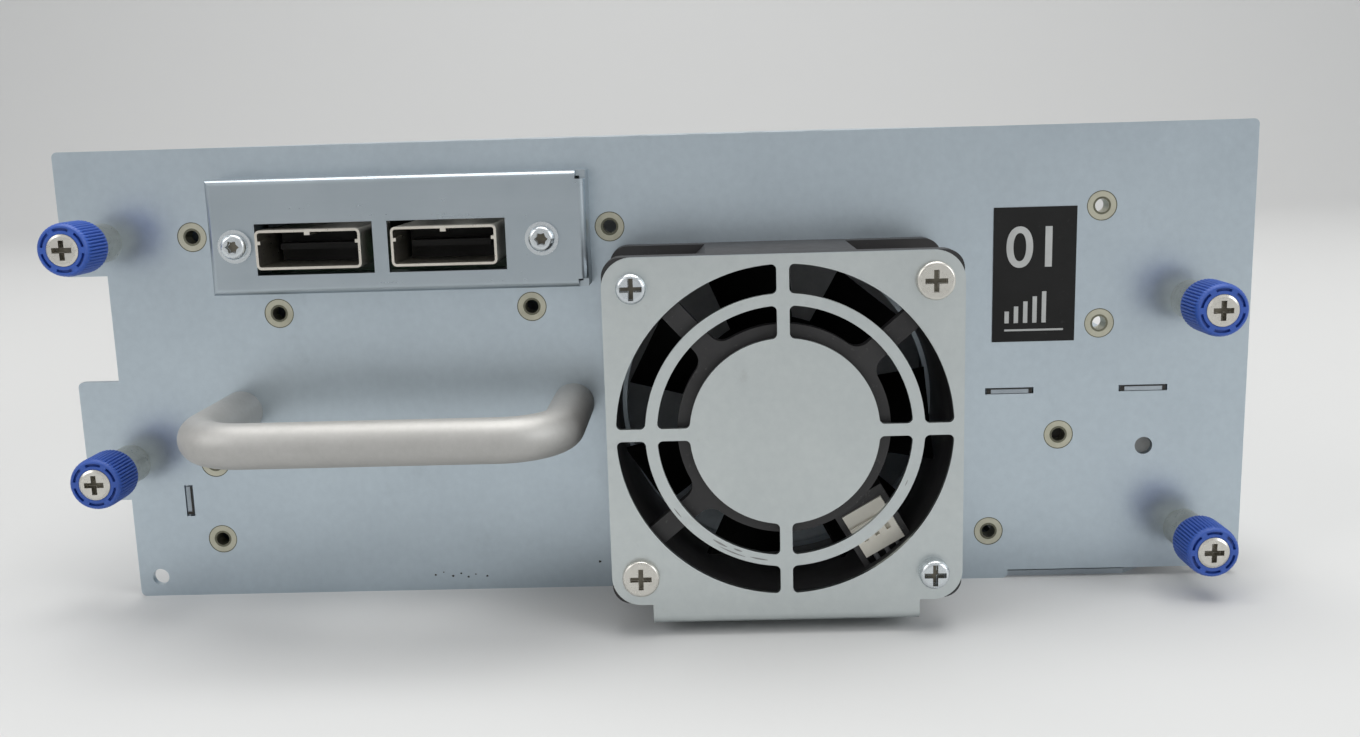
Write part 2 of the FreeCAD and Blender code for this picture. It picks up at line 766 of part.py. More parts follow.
# the rotor is modelled about its own shaft, which lies on its Y axis
rotor = new_body("fan_rotor", d.fan_x, 0, d.fan_z)
cup_front = hub_back + 0.6
cup = d.rotor_cup
turn_up(rotor, [
    (0, d.rotor_back), (cup - 0.8, d.rotor_back), (cup, d.rotor_back - 0.8),
    (cup, cup_front), (cup - d.rotor_wall, cup_front),
    (cup - d.rotor_wall, d.rotor_back - 1.2), (d.shaft, d.rotor_back - 1.2),
    (d.shaft, cup_front), (0, cup_front)])
root = new_sketch(rotor, "YZ", d.rotor_cup - 1.6)
polygon(root, [(-17.2, -5.2), (-16.4, -5.6), (-3.7, 4.4), (-4.5, 4.8)])
tip = new_sketch(rotor, "YZ", 26.6)
polygon(tip, [(-16.4, -7.4), (-15.6, -7.9), (-5.0, 6.4), (-5.8, 6.9)])
blade = rotor.newObject("PartDesign::AdditiveLoft", "blade")
blade.Profile = root
blade.Sections = [tip]
rotor.Tip = blade
doc.recompute()
blades = rotor.newObject("PartDesign::PolarPattern", "blades")
blades.Originals = [blade]
upright = [f for f in rotor.Origin.OriginFeatures if f.Role == "Y_Axis"][0]
blades.Axis = (upright, [""])
blades.Angle = 360
blades.Occurrences = 7
rotor.Tip = blades

plug = new_body("fan_plug")
add(plug, "XZ", d.plug_front, d.plug_back, lambda sk: holder(
    sk, d.plug_wide / 2, -d.plug_long / 2, d.plug_long / 2))
cut(plug, "XZ", d.plug_front, d.plug_front + 0.4, lambda sk: holder(
    sk, d.plug_wide / 2, -1.9, -1.5))


def latch_windows(sk):
    for row in (-1, 0, 1):
        middle = d.lead_pitch * row
        turned_rectangle(sk, d.plug_x, d.plug_z, d.plug_turn, middle - 0.4, middle + 0.4,
                         dim(-1.6), dim(0.2))


cut(plug, "XZ", d.plug_front, d.plug_front + 0.8, latch_windows)

# leads: out of the plug, back along the barrel, through the panel and across to the header
LEAD_LEVEL = -20.9
LEAD_RUN = 14.0
HEADER_LEFT = d.tray_right + 8


def lead_path(side):
    """Corner points and bend radii of one lead."""
    turn = math.radians(d.plug_turn.value)
    across = V(math.cos(turn), 0, math.sin(turn))
    along = V(math.sin(turn), 0, -math.cos(turn))
    centre = V(d.plug_x.value, LEAD_LEVEL, d.plug_z.value) + across * side
    start = centre + along * (d.plug_long.value / 2)
    corner = centre + along * d.lead_drop.value
    deep = V(corner.x, LEAD_RUN, corner.z)
    end = V(HEADER_LEFT.value, LEAD_RUN, corner.z)
    return [start, corner, deep, end], [2.0, 8.0]


def swept_lead(points, radii, bar):
    """A round lead along straight runs joined by tangent arcs."""
    edges = []
    here = points[0]
    for before, at, after, r in zip(points, points[1:], points[2:], radii):
        come = (at - before).normalize()
        go = (after - at).normalize()
        reach = r * math.tan(come.getAngle(go) / 2)
        enter = at - come * reach
        leave = at + go * reach
        inward = (go - come).normalize()
        centre = at + inward * (r / math.cos(come.getAngle(go) / 2))
        middle = centre - inward * r
        edges.append(Part.LineSegment(here, enter).toShape())
        edges.append(Part.Arc(enter, middle, leave).toShape())
        here = leave
    edges.append(Part.LineSegment(here, points[-1]).toShape())
    wire = Part.Wire(edges)
    start = (points[1] - points[0]).normalize()
    ring = Part.Wire([Part.makeCircle(bar, points[0], start)])
    return wire.makePipeShell([ring], True, False)


leads = doc.addObject("Part::Feature", "fan_leads")
leads.Label = "fan_leads"
pitch = d.lead_pitch.value
solids = [swept_lead(*lead_path(side * pitch), d.lead_bar.value) for side in (-1, 0, 1)]
leads.Shape = Part.makeCompound(solids)
place(leads)
nodes.append(leads)

# ---------------------------------------------------------------- fan guard
guard_front = fan_front - d.guard_sheet
guard = new_body("fan_guard")


def guard_square(sk):
    side = d.fan_side / 2
    round_rectangle(sk, d.fan_x - side, d.fan_x + side, d.fan_z - side, d.fan_z + side,
                    d.guard_corner)


add(guard, "XZ", guard_front, fan_front, guard_square)
add(guard, "XZ", guard_front, fan_front, lambda sk: rectangle(
    sk, d.guard_tab_left, d.guard_tab_right, d.guard_tab_low, d.fan_z - 28.9))
add(guard, "XY", d.guard_tab_low, d.guard_tab_low + d.guard_sheet, lambda sk: rectangle(
    sk, d.guard_tab_left, d.guard_tab_right, guard_front, 0))
low, front = d.guard_tab_low.value, guard_front.value
round_edges(guard, 1.6, lambda edge: runs_along(edge, 0) and lies_at(edge, 1, front)
            and lies_at(edge, 2, low))


def guard_rings(sk):
    for r in (d.guard_hole, d.guard_ring_out, d.guard_ring_in, d.guard_disc):
        circle(sk, d.fan_x, d.fan_z, r)


cut(guard, "XZ", guard_front, fan_front, guard_rings)


def spokes(sk):
    long, wide = d.guard_hole + 0.3, d.guard_spoke / 2
    x, z = d.fan_x, d.fan_z
    polygon(sk, [
        (x + wide, z - long), (x + wide, z - wide), (x + long, z - wide),
        (x + long, z + wide), (x + wide, z + wide), (x + wide, z + long),
        (x - wide, z + long), (x - wide, z + wide), (x - long, z + wide),
        (x - long, z - wide), (x - wide, z - wide), (x - wide, z - long)])


add(guard, "XZ", guard_front, fan_front, spokes)


def slot_corner(edge):
    point = edge.Vertexes[0].Point
    away = math.hypot(point.x - d.fan_x.value, point.z - d.fan_z.value)
    return runs_along(edge, 1) and 15 < away < 29


round_edges(guard, 0.9, slot_corner)
cut(guard, "XZ", guard_front, fan_front, lambda sk: nut_holes(
    sk, FAN_SCREWS, d.shaft + d.screw_play))



def guard_cross(sk, x, y):
    cross(sk, x, y, 1.85, 0.87)


screws("guard_screws_pan", "XZ", PAN_PLACES, (guard_front - 2.4, guard_front, 2.55),
       (3.2, d.shaft), (guard_cross, 1.8), 0.9)
screws("guard_screws_flat", "XZ", FLAT_PLACES, (guard_front - 1.3, guard_front, 3.2),
       (3.2, d.shaft), (guard_cross, 1.1), 0.5)

# ---------------------------------------------------------------- captive thumbscrews
ferrules = new_body("thumbscrew_ferrules")


def thumb_rings(outer, inner):
    def draw(sk):
        for x, z in THUMB_PLACES.values():
            circle(sk, x, z, outer)
            circle(sk, x, z, inner)
    return draw


collar = d.thumb_shaft + d.fit_play
add(ferrules, "XZ", d.ferrule_front, d.ferrule_floor, thumb_rings(d.ferrule, d.ferrule_chamber))
add(ferrules, "XZ", d.ferrule_floor, 0, thumb_rings(d.ferrule, collar))
add(ferrules, "XZ", 0, d.panel_sheet, thumb_rings(d.ferrule_shank, collar))


def thumbscrew(side, x, z):
    """Knob, screw and spring of one captive thumbscrew, about their own Y axis."""
    knob_r, cavity = d.knob, d.knob_cavity
    seat = d.knob_front + 1.3
    bore = d.thumb_shaft + 0.02
    knob = new_body("thumbscrew_knob_" + side, x, 0, z)
    turn_up(knob, [
        (d.knob_head + 0.05, d.knob_front), (knob_r - 0.5, d.knob_front),
        (knob_r - 0.1, d.knob_front + 0.5), (knob_r, d.knob_front + 1.2),
        (knob_r, d.knob_back), (cavity, d.knob_back), (cavity, d.knob_cavity_top),
        (bore, d.knob_cavity_top), (bore, seat), (d.knob_head + 0.05, seat)])
    arcs = new_sketch(knob, "XZ", d.knob_front)
    polygon(arcs, [(3.2, -1.0), (3.75, -1.2), (3.92, 0), (3.75, 1.2), (3.2, 1.0), (3.35, 0)])
    groove = knob.newObject("PartDesign::Pocket", "groove")
    groove.Profile = arcs
    groove.Length = 0.7
    knob.Tip = groove
    doc.recompute()
    ring = knob.newObject("PartDesign::PolarPattern", "grooves")
    ring.Originals = [groove]
    middle = [f for f in knob.Origin.OriginFeatures if f.Role == "Y_Axis"][0]
    ring.Axis = (middle, [""])
    ring.Angle = 360
    ring.Occurrences = 6
    knob.Tip = ring

    screw = new_body("thumbscrew_screw_" + side, x, 0, z)
    shaft = d.thumb_shaft
    turn_up(screw, [
        (0, d.knob_front - 0.25), (d.knob_head - 0.4, d.knob_front - 0.25),
        (d.knob_head, d.knob_front), (d.knob_head, seat), (shaft, seat),
        (shaft, d.thumb_tip - 0.6), (shaft - 0.6, d.thumb_tip), (0, d.thumb_tip)])
    cut(screw, "XZ", d.knob_front - 0.25, d.knob_front + 1.6,
        lambda sk: cross(sk, 0, 0, 1.75, 0.95))

    helix = doc.addObject("Part::Helix", "coil_" + side)
    length = d.ferrule_floor - d.knob_cavity_top - 2 * d.spring_wire - 0.1
    helix.setExpression("Radius", d.spring_mean.text)
    helix.setExpression("Height", length.text)
    helix.setExpression("Pitch", (length / 6).text)
    wire = doc.addObject("Part::RegularPolygon", "wire_" + side)
    wire.Polygon = 4
    wire.setExpression("Circumradius", d.spring_wire.text)
    wire.Placement = FreeCAD.Placement(V(d.spring_mean.value, 0, 0),
                                       FreeCAD.Rotation(V(1, 0, 0), 90))
    spring = doc.addObject("Part::Sweep", "thumbscrew_spring_" + side)
    spring.Label = "thumbscrew_spring_" + side
    spring.Sections = [wire]
    spring.Spine = (helix, ["Edge1"])
    spring.Solid = True
    spring.Frenet = True
    spring.Placement = FreeCAD.Placement(V(0, 0, 0), FreeCAD.Rotation(V(1, 0, 0), -90))
    start = d.knob_cavity_top + d.spring_wire + 0.05
    place(spring, x, start, z)
    nodes.append(spring)


for side, (x, z) in THUMB_PLACES.items():
    thumbscrew(side, x, z)

# ---------------------------------------------------------------- sled
tray = new_body("sled_tray")
add(tray, "XY", 0, d.tray_sheet, lambda sk: rectangle(
    sk, d.tray_left, d.tray_right, d.panel_sheet, d.tray_back))
for left in (d.tray_left, TRAY_IN_RIGHT):
    add(tray, "YZ", left, left + d.tray_sheet, lambda sk: rectangle(
        sk, d.panel_sheet, d.tray_back, 0, LID_LOW))
add(tray, "YZ", d.tray_left, TRAY_IN_LEFT, lambda sk: rectangle(
    sk, 0.2, d.panel_sheet, 16.2, 21.7))


def side_notches(sk):
    """Room in the right wall for the leads and for the clinch nut beside it."""
    rectangle(sk, 9, 19, 6.5, 15)
    level, room = NUT_PLACES[9][1], d.nut_collar + d.sheet_play
    rectangle(sk, 0.9, d.panel_sheet + d.nut_depth + d.sheet_play, level - room, level + room)


cut(tray, "YZ", TRAY_IN_RIGHT, d.tray_right, side_notches)
vent = cut(tray, "YZ", d.tray_left, d.tray_right, lambda sk: round_rectangle(
    sk, 196, 200, 30, 66, 1.9))
repeat(tray, vent, "Y_Axis", 40, 5)
DRIVE_SCREWS = [(90.0, 11.2), (90.0, 23.9), (169.5, 11.2), (169.5, 23.9)]
LID_SCREWS = [(y, LID_LOW - 4.7) for y in (30.0, 130.0, 225.0)]
cut(tray, "YZ", d.tray_left, d.tray_right, lambda sk: nut_holes(
    sk, DRIVE_SCREWS + LID_SCREWS, d.shaft + d.screw_play))

lid = new_body("top_cover")
add(lid, "XY", LID_LOW, d.panel_top, lambda sk: rectangle(
    sk, d.tray_left, d.tray_right, d.panel_sheet, d.tray_back))
thin = d.lid_flange
for left in (TRAY_IN_LEFT, TRAY_IN_RIGHT - thin):
    add(lid, "YZ", left, left + thin, lambda sk: rectangle(
        sk, 4.0, d.tray_back - 2, LID_LOW - 9.2, LID_LOW))
cut(lid, "YZ", d.tray_left, d.tray_right, lambda sk: nut_holes(
    sk, LID_SCREWS, 1.25 + d.fit_play))


vent = cut(lid, "XY", LID_LOW, d.panel_top, lambda sk: round_rectangle(
    sk, 36, 40, 14, 44, 1.9))
repeat(lid, vent, "X_Axis", 96, 9)

SMALL_CROSS = (lambda sk, x, y: cross(sk, x, y, 1.3, 0.7), 1.0)
for side, outer, seat, end, lid_end in (
        ("left", d.tray_left - 1.7, d.tray_left, d.drive_left + 6, TRAY_IN_LEFT + thin),
        ("right", d.tray_right + 1.7, d.tray_right, d.drive_right - 6, TRAY_IN_RIGHT - thin)):
    screws("drive_screws_" + side, "YZ", DRIVE_SCREWS, (outer, seat, 2.8),
           (end, d.shaft), SMALL_CROSS, 0.7, True)
    screws("lid_screws_" + side, "YZ", LID_SCREWS, (outer, seat, 2.5),
           (lid_end, 1.25), SMALL_CROSS, 0.7, True)

# side bracket: a channel beside the tray for the power and signal board
thick = d.bracket_sheet
front = d.panel_sheet
side = new_body("side_bracket")
add(side, "XY", 0, thick, lambda sk: polygon(sk, [
    (d.tray_right, front), (d.bracket_right - 16, front), (d.bracket_right, 14),
    (d.bracket_right, d.bracket_back), (d.tray_right, d.bracket_back)]))
add(side, "XY", d.bracket_roof, d.bracket_roof + thick, lambda sk: rectangle(
    sk, d.tray_right, d.bracket_right, front, d.bracket_back))
add(side, "YZ", d.bracket_right - thick, d.bracket_right, lambda sk: rectangle(
    sk, 14, d.bracket_back, 0, d.bracket_roof + thick))
add(side, "XZ", front, front + thick, lambda sk: rectangle(
    sk, d.tray_right, d.bracket_right, 2.4, d.bracket_roof + thick))
for left, right in BRACKET_TABS:
    add(side, "XY", d.bracket_roof, d.bracket_roof + thick, lambda sk: rectangle(
        sk, left, right, 0.1, front))
posts = [(d.tray_right + x, y) for x in (10, 26) for y in (20, 90)]
add(side, "XY", thick, 4.2, lambda sk: nut_holes(sk, posts, 2.4))


def flange_holes(sk):
    nut_holes(sk, [NUT_PLACES[8], NUT_PLACES[9]], d.nut_collar + 0.3)
    nut_holes(sk, [THUMB_PLACES["lower_right"]], 4.0)


cut(side, "XZ", front, front + thick, flange_holes)

signal = new_body("signal_board")
add(signal, "XY", 4.2, 4.2 + d.board_thick, lambda sk: rectangle(
    sk, d.tray_right + 5, d.tray_right + 31, 8.0, d.bracket_back - 8))
board_top = 4.2 + d.board_thick
header = new_body("lead_header")
add(header, "XY", board_top, board_top + 8.0, lambda sk: rectangle(
    sk, HEADER_LEFT, HEADER_LEFT + 7, LEAD_RUN - 5, LEAD_RUN + 5))
mate = new_body("blind_mate_plug")
mate_end = d.bracket_back - 2
add(mate, "XZ", mate_end - 20, mate_end, lambda sk: rectangle(
    sk, d.tray_right + 7, d.tray_right + 29, board_top, 22.0))
cut(mate, "XZ", mate_end - 12, mate_end, lambda sk: rectangle(
    sk, d.tray_right + 11, d.tray_right + 25, 9.5, 18.5))
pins = [(d.tray_right + 9, 14.0), (d.tray_right + 27, 14.0)]
add(mate, "XZ", mate_end, mate_end + 8, lambda sk: nut_holes(sk, pins, 1.4))

# ---------------------------------------------------------------- tape drive
drive_end = d.tray_back
drive_top = LID_LOW - d.drive_gap
chassis_top = drive_top - d.drive_lid
bay_high = chassis_top - d.bay_roof
bay_low = bay_high - d.bay_tall
slot_high = bay_high - d.slot_brow
slot_low = bay_low + d.slot_step
door_axis_z = bay_high - d.door_axis_drop
chassis = new_body("drive_chassis")
add(chassis, "XZ", d.drive_front, drive_end, lambda sk: rectangle(
    sk, d.drive_left, d.drive_right, d.tray_sheet, chassis_top))
cut(chassis, "XZ", drive_end - d.bay_deep, drive_end, lambda sk: rectangle(
    sk, d.bay_left, d.bay_right, bay_low, bay_high))
for start, end in ((d.drive_left, d.drive_left + 7), (d.drive_right - 7, d.drive_right)):
    cut(chassis, "YZ", start, end, lambda sk: nut_holes(
        sk, DRIVE_SCREWS, d.shaft + d.fit_play))


def chassis_recess(sk):
    rectangle(sk, 22, 92, 8, 40)


cut(chassis, "XZ", d.drive_front, d.drive_front + 3, chassis_recess)

drive_lid = new_body("drive_lid")
add(drive_lid, "XY", chassis_top, drive_top, lambda sk: rectangle(
    sk, d.drive_left, d.drive_right, d.drive_front, drive_end))
cut(drive_lid, "XY", chassis_top, drive_top, lambda sk: round_rectangle(
    sk, 60, 112, 80, 120, 3))

drive_board = new_body("drive_board")
add(drive_board, "XZ", d.drive_front + 1.4, d.drive_front + 3, lambda sk: rectangle(
    sk, 22.5, 91.5, 8.5, 39.5))

socket = new_body("drive_socket")
add(socket, "XZ", 46.0, d.drive_front, lambda sk: rectangle(sk, 39.0, 69.0, 62.4, 71.5))

bezel_end = drive_end + d.bezel_thick
lip = drive_end + 3.0
bezel = new_body("drive_bezel")
add(bezel, "XZ", drive_end, bezel_end, lambda sk: rectangle(
    sk, d.drive_left, d.drive_right, d.tray_sheet, drive_top))
round_edges(bezel, 1.2, lambda edge: lies_at(edge, 1, bezel_end.value))
cut(bezel, "XZ", drive_end, lip, lambda sk: rectangle(
    sk, d.bay_left, d.bay_right, bay_low, bay_high))
cut(bezel, "XZ", lip, bezel_end, lambda sk: rectangle(
    sk, d.slot_left, d.slot_right, slot_low, slot_high))
door_axis_y = drive_end + 1.6
pin_bore = d.door_pin + d.fit_play
pin_reach = 2.0
cut(bezel, "YZ", d.bay_left - pin_reach - 0.2, d.bay_right + pin_reach + 0.2,
    lambda sk: circle(sk, door_axis_y, door_axis_z, pin_bore))
BUTTON = (145.5, 153.5, 60.0, 64.6)
x0, x1, z0, z1 = BUTTON
cut(bezel, "XZ", drive_end, bezel_end, lambda sk: rectangle(
    sk, x0 - 0.15, x1 + 0.15, z0 - 0.15, z1 + 0.15))
cut(bezel, "XZ", drive_end, drive_end + 2.5, lambda sk: rectangle(
    sk, x0 - 1.2, x1 + 1.2, z0 - 1.2, z1 + 1.2))
LIGHTS = [(146.0 + 2.3 * i, 70.5) for i in range(4)]
cut(bezel, "XZ", drive_end, bezel_end, lambda sk: nut_holes(sk, LIGHTS, 0.85))


def bezel_vents(sk):
    round_rectangle(sk, 26, 33, 10, 14, 1.5)
    round_rectangle(sk, 26, 33, 18, 22, 1.5)


vent = cut(bezel, "XZ", drive_end + 3.0, bezel_end, bezel_vents)
repeat(bezel, vent, "X_Axis", 112.2, 12)

# the door is modelled about its own hinge axis
door = new_body("cartridge_door", 0, door_axis_y, door_axis_z)
thin = d.door_thick / 2
door_drop = door_axis_z - slot_low + 0.2
add(door, "XZ", -thin, thin, lambda sk: rectangle(
    sk, d.bay_left + 0.4, d.bay_right - 0.4, -door_drop + 0.4, 0.7))
add(door, "YZ", d.bay_left - pin_reach, d.bay_right + pin_reach,
    lambda sk: circle(sk, 0, 0, d.door_pin))
cut(door, "XZ", thin - 0.5, thin, lambda sk: rectangle(
    sk, 72, 100, -door_drop + 2.0, -door_drop + 8.0))

button = new_body("eject_button")
add(button, "XZ", drive_end + 1.7, drive_end + 2.5, lambda sk: rectangle(
    sk, x0 - 1.0, x1 + 1.0, z0 - 1.0, z1 + 1.0))
add(button, "XZ", drive_end + 2.5, bezel_end + 0.0, lambda sk: rectangle(sk, x0, x1, z0, z1))
lights = new_body("status_lights")
add(lights, "XZ", drive_end + 1.0, bezel_end, lambda sk: nut_holes(sk, LIGHTS, 0.8))

# ---------------------------------------------------------------- check and export
doc.recompute()
faults = []
for obj in doc.Objects:
    if "Invalid" in obj.State or "Error" in obj.State:
        faults.append(obj.Name + ": " + ", ".join(obj.State))
for node in nodes:
    if node.Shape.isNull() or not node.Shape.isValid():
        faults.append(node.Label + ": bad shape")
if faults:
    raise RuntimeError("; ".join(faults))
for node in nodes:
    node.Shape.exportStep("parts/%s.step" % node.Label)
    box = node.Shape.BoundBox
    print(node.Label, len(node.Shape.Solids), "solid(s)",
          "%.1f x %.1f x %.1f" % (box.XLength, box.YLength, box.ZLength))
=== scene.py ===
import json
import math

import bpy
from mathutils import Matrix, Vector


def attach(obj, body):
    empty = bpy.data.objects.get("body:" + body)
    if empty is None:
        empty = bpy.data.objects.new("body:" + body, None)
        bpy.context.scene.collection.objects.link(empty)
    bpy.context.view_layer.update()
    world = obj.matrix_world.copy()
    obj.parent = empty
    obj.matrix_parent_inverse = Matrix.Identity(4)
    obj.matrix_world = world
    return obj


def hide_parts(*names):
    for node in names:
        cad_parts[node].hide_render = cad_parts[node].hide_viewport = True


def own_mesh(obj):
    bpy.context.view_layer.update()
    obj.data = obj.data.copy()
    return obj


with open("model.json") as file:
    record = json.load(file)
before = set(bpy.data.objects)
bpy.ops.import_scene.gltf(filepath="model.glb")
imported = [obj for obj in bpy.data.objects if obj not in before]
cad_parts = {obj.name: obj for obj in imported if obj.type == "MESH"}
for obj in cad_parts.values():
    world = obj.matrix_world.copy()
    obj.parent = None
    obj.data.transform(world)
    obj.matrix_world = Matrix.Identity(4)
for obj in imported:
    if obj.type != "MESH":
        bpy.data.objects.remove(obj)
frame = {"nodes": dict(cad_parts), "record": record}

# where the panel's main left edge, outer face and lower edge meet, in the frame, mm
ORIGIN = Vector((-101.65, -111.75, 0.0))


def at(x, y, z):
    """A point given in millimetres from ORIGIN, in the frame's metres."""
    return (Vector((x, y, z)) + ORIGIN) / 1000.0


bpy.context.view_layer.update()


# ---------------------------------------------------------------- materials
BUMP_HEIGHT = 0.0001    # how far a material's grain stands out, in metres


class Look:
    """One material's node tree, with short ways to add and join nodes."""

    def __init__(self, name):
        self.material = bpy.data.materials.new(name)
        self.material.use_nodes = True
        self.tree = self.material.node_tree
        self.tree.nodes.clear()
        self.out = self.tree.nodes.new("ShaderNodeOutputMaterial")
        self.shader = self.tree.nodes.new("ShaderNodeBsdfPrincipled")
        self.join(self.shader.outputs[0], self.out.inputs[0])
        self.place = self.tree.nodes.new("ShaderNodeTexCoord").outputs["Object"]

    def join(self, source, target):
        self.tree.links.new(source, target)

    def node(self, kind, inputs=None, **settings):
        """A new node, with each input joined to a socket or set to a value."""
        made = self.tree.nodes.new("ShaderNode" + kind)
        for key, value in settings.items():
            setattr(made, key, value)
        for key, value in (inputs or {}).items():
            if isinstance(value, bpy.types.NodeSocket):
                self.join(value, made.inputs[key])
            else:
                made.inputs[key].default_value = value
        return made

    def noise(self, scale, detail=3.0, rough=0.55, stretch=None, shift=(0, 0, 0)):
        """Noise from nought to one, on the object's own coordinates."""
        source = self.place
        if stretch or any(shift):
            source = self.node("Mapping", {
                "Vector": self.place, "Scale": stretch or (1, 1, 1), "Location": shift}).outputs[0]
        made = self.node("TexNoise", {
            "Vector": source, "Scale": scale, "Detail": detail, "Roughness": rough})
        return made.outputs["Fac"]

    def ranged(self, value, low, high, to_low=0.0, to_high=1.0):
        made = self.node("MapRange", {
            "Value": value, "From Min": low, "From Max": high,
            "To Min": to_low, "To Max": to_high})
        return made.outputs[0]

    def mixed(self, factor, first, second):
        """One colour over another; each may be a socket or a plain colour."""
        made = self.node("Mix", data_type="RGBA")
        made.clamp_factor = True
        for index, value in ((0, factor), (6, first), (7, second)):
            if isinstance(value, bpy.types.NodeSocket):
                self.join(value, made.inputs[index])
            elif index:
                made.inputs[index].default_value = (*value, 1.0)
            else:
                made.inputs[index].default_value = value
        return made.outputs[2]

    def maths(self, how, first, second):
        made = self.node("Math", operation=how)
        for index, value in ((0, first), (1, second)):
            if isinstance(value, bpy.types.NodeSocket):
                self.join(value, made.inputs[index])
            else:
                made.inputs[index].default_value = value
        return made.outputs[0]

    def grain(self, height, strength):
        """Stand a pattern out of the surface."""
        bump = self.node("Bump", {
            "Height": height, "Strength": strength, "Distance": BUMP_HEIGHT})
        self.join(bump.outputs[0], self.shader.inputs["Normal"])

    def set(self, **values):
        """Set the shader's own sockets, with _ for each space in a name."""
        for key, value in values.items():
            self.shader.inputs[key.replace("_", " ")].default_value = value


def sheet_metal(name, tone, shade, rough=(0.34, 0.5), grain=2600, patch=55,
                stretch=(1, 1, 1), depth=0.05, metallic=1.0, marks=0.25, mark_tone=None):
    """Plated or bare metal: cloudy patches, a fine grain and faint handling marks."""
    look = Look(name)
    cloud = look.noise(patch, 6.0, 0.62)
    fine = look.noise(grain, 2.0, 0.6, stretch)
    mottle = look.noise(grain * 0.28, 3.0, 0.6, stretch, (3.1, 1.7, 0.4))
    spread = look.maths("ADD", look.maths("MULTIPLY", cloud, 0.6),
                        look.maths("MULTIPLY", mottle, 0.4))
    colour = look.mixed(look.ranged(spread, 0.36, 0.64), tone, shade)
    smudge = look.noise(patch * 3.2, 5.0, 0.7, None, (0.7, 0.2, 5.0))
    dirt = look.maths("MULTIPLY", look.ranged(smudge, 0.62, 0.74), marks)
    colour = look.mixed(dirt, colour, mark_tone or tuple(v * 0.45 for v in shade))
    look.join(colour, look.shader.inputs["Base Color"])
    blend = look.maths("ADD", look.maths("MULTIPLY", fine, 0.5),
                       look.maths("MULTIPLY", smudge, 0.5))
    look.join(look.ranged(blend, 0.35, 0.65, *rough), look.shader.inputs["Roughness"])
    look.grain(fine, depth)
    look.set(Metallic=metallic)
    return look


def plastic(name, tone, shade, rough=(0.4, 0.55), grain=3500, depth=0.12, dust=0.12,
            dust_tone=(0.45, 0.44, 0.42), gloss=0.5):
    """Moulded plastic: slight colour drift, a fine moulded texture, dust and scuffs."""
    look = Look(name)
    cloud = look.noise(90, 4.0, 0.6)
    colour = look.mixed(look.ranged(cloud, 0.35, 0.65), tone, shade)
    fine = look.noise(grain, 3.0, 0.6)
    specks = look.noise(900, 5.0, 0.7, None, (1.0, 4.0, 2.0))
    film = look.noise(140, 5.0, 0.7, None, (2.0, 1.0, 7.0))
    dusty = look.maths("MULTIPLY", look.ranged(specks, 0.6, 0.72), look.ranged(film, 0.4, 0.7))
    colour = look.mixed(look.maths("MULTIPLY", dusty, dust), colour, dust_tone)
    look.join(colour, look.shader.inputs["Base Color"])
    look.join(look.ranged(film, 0.3, 0.7, *rough), look.shader.inputs["Roughness"])
    look.grain(fine, depth)
    look.set(Specular_IOR_Level=gloss)
    return look


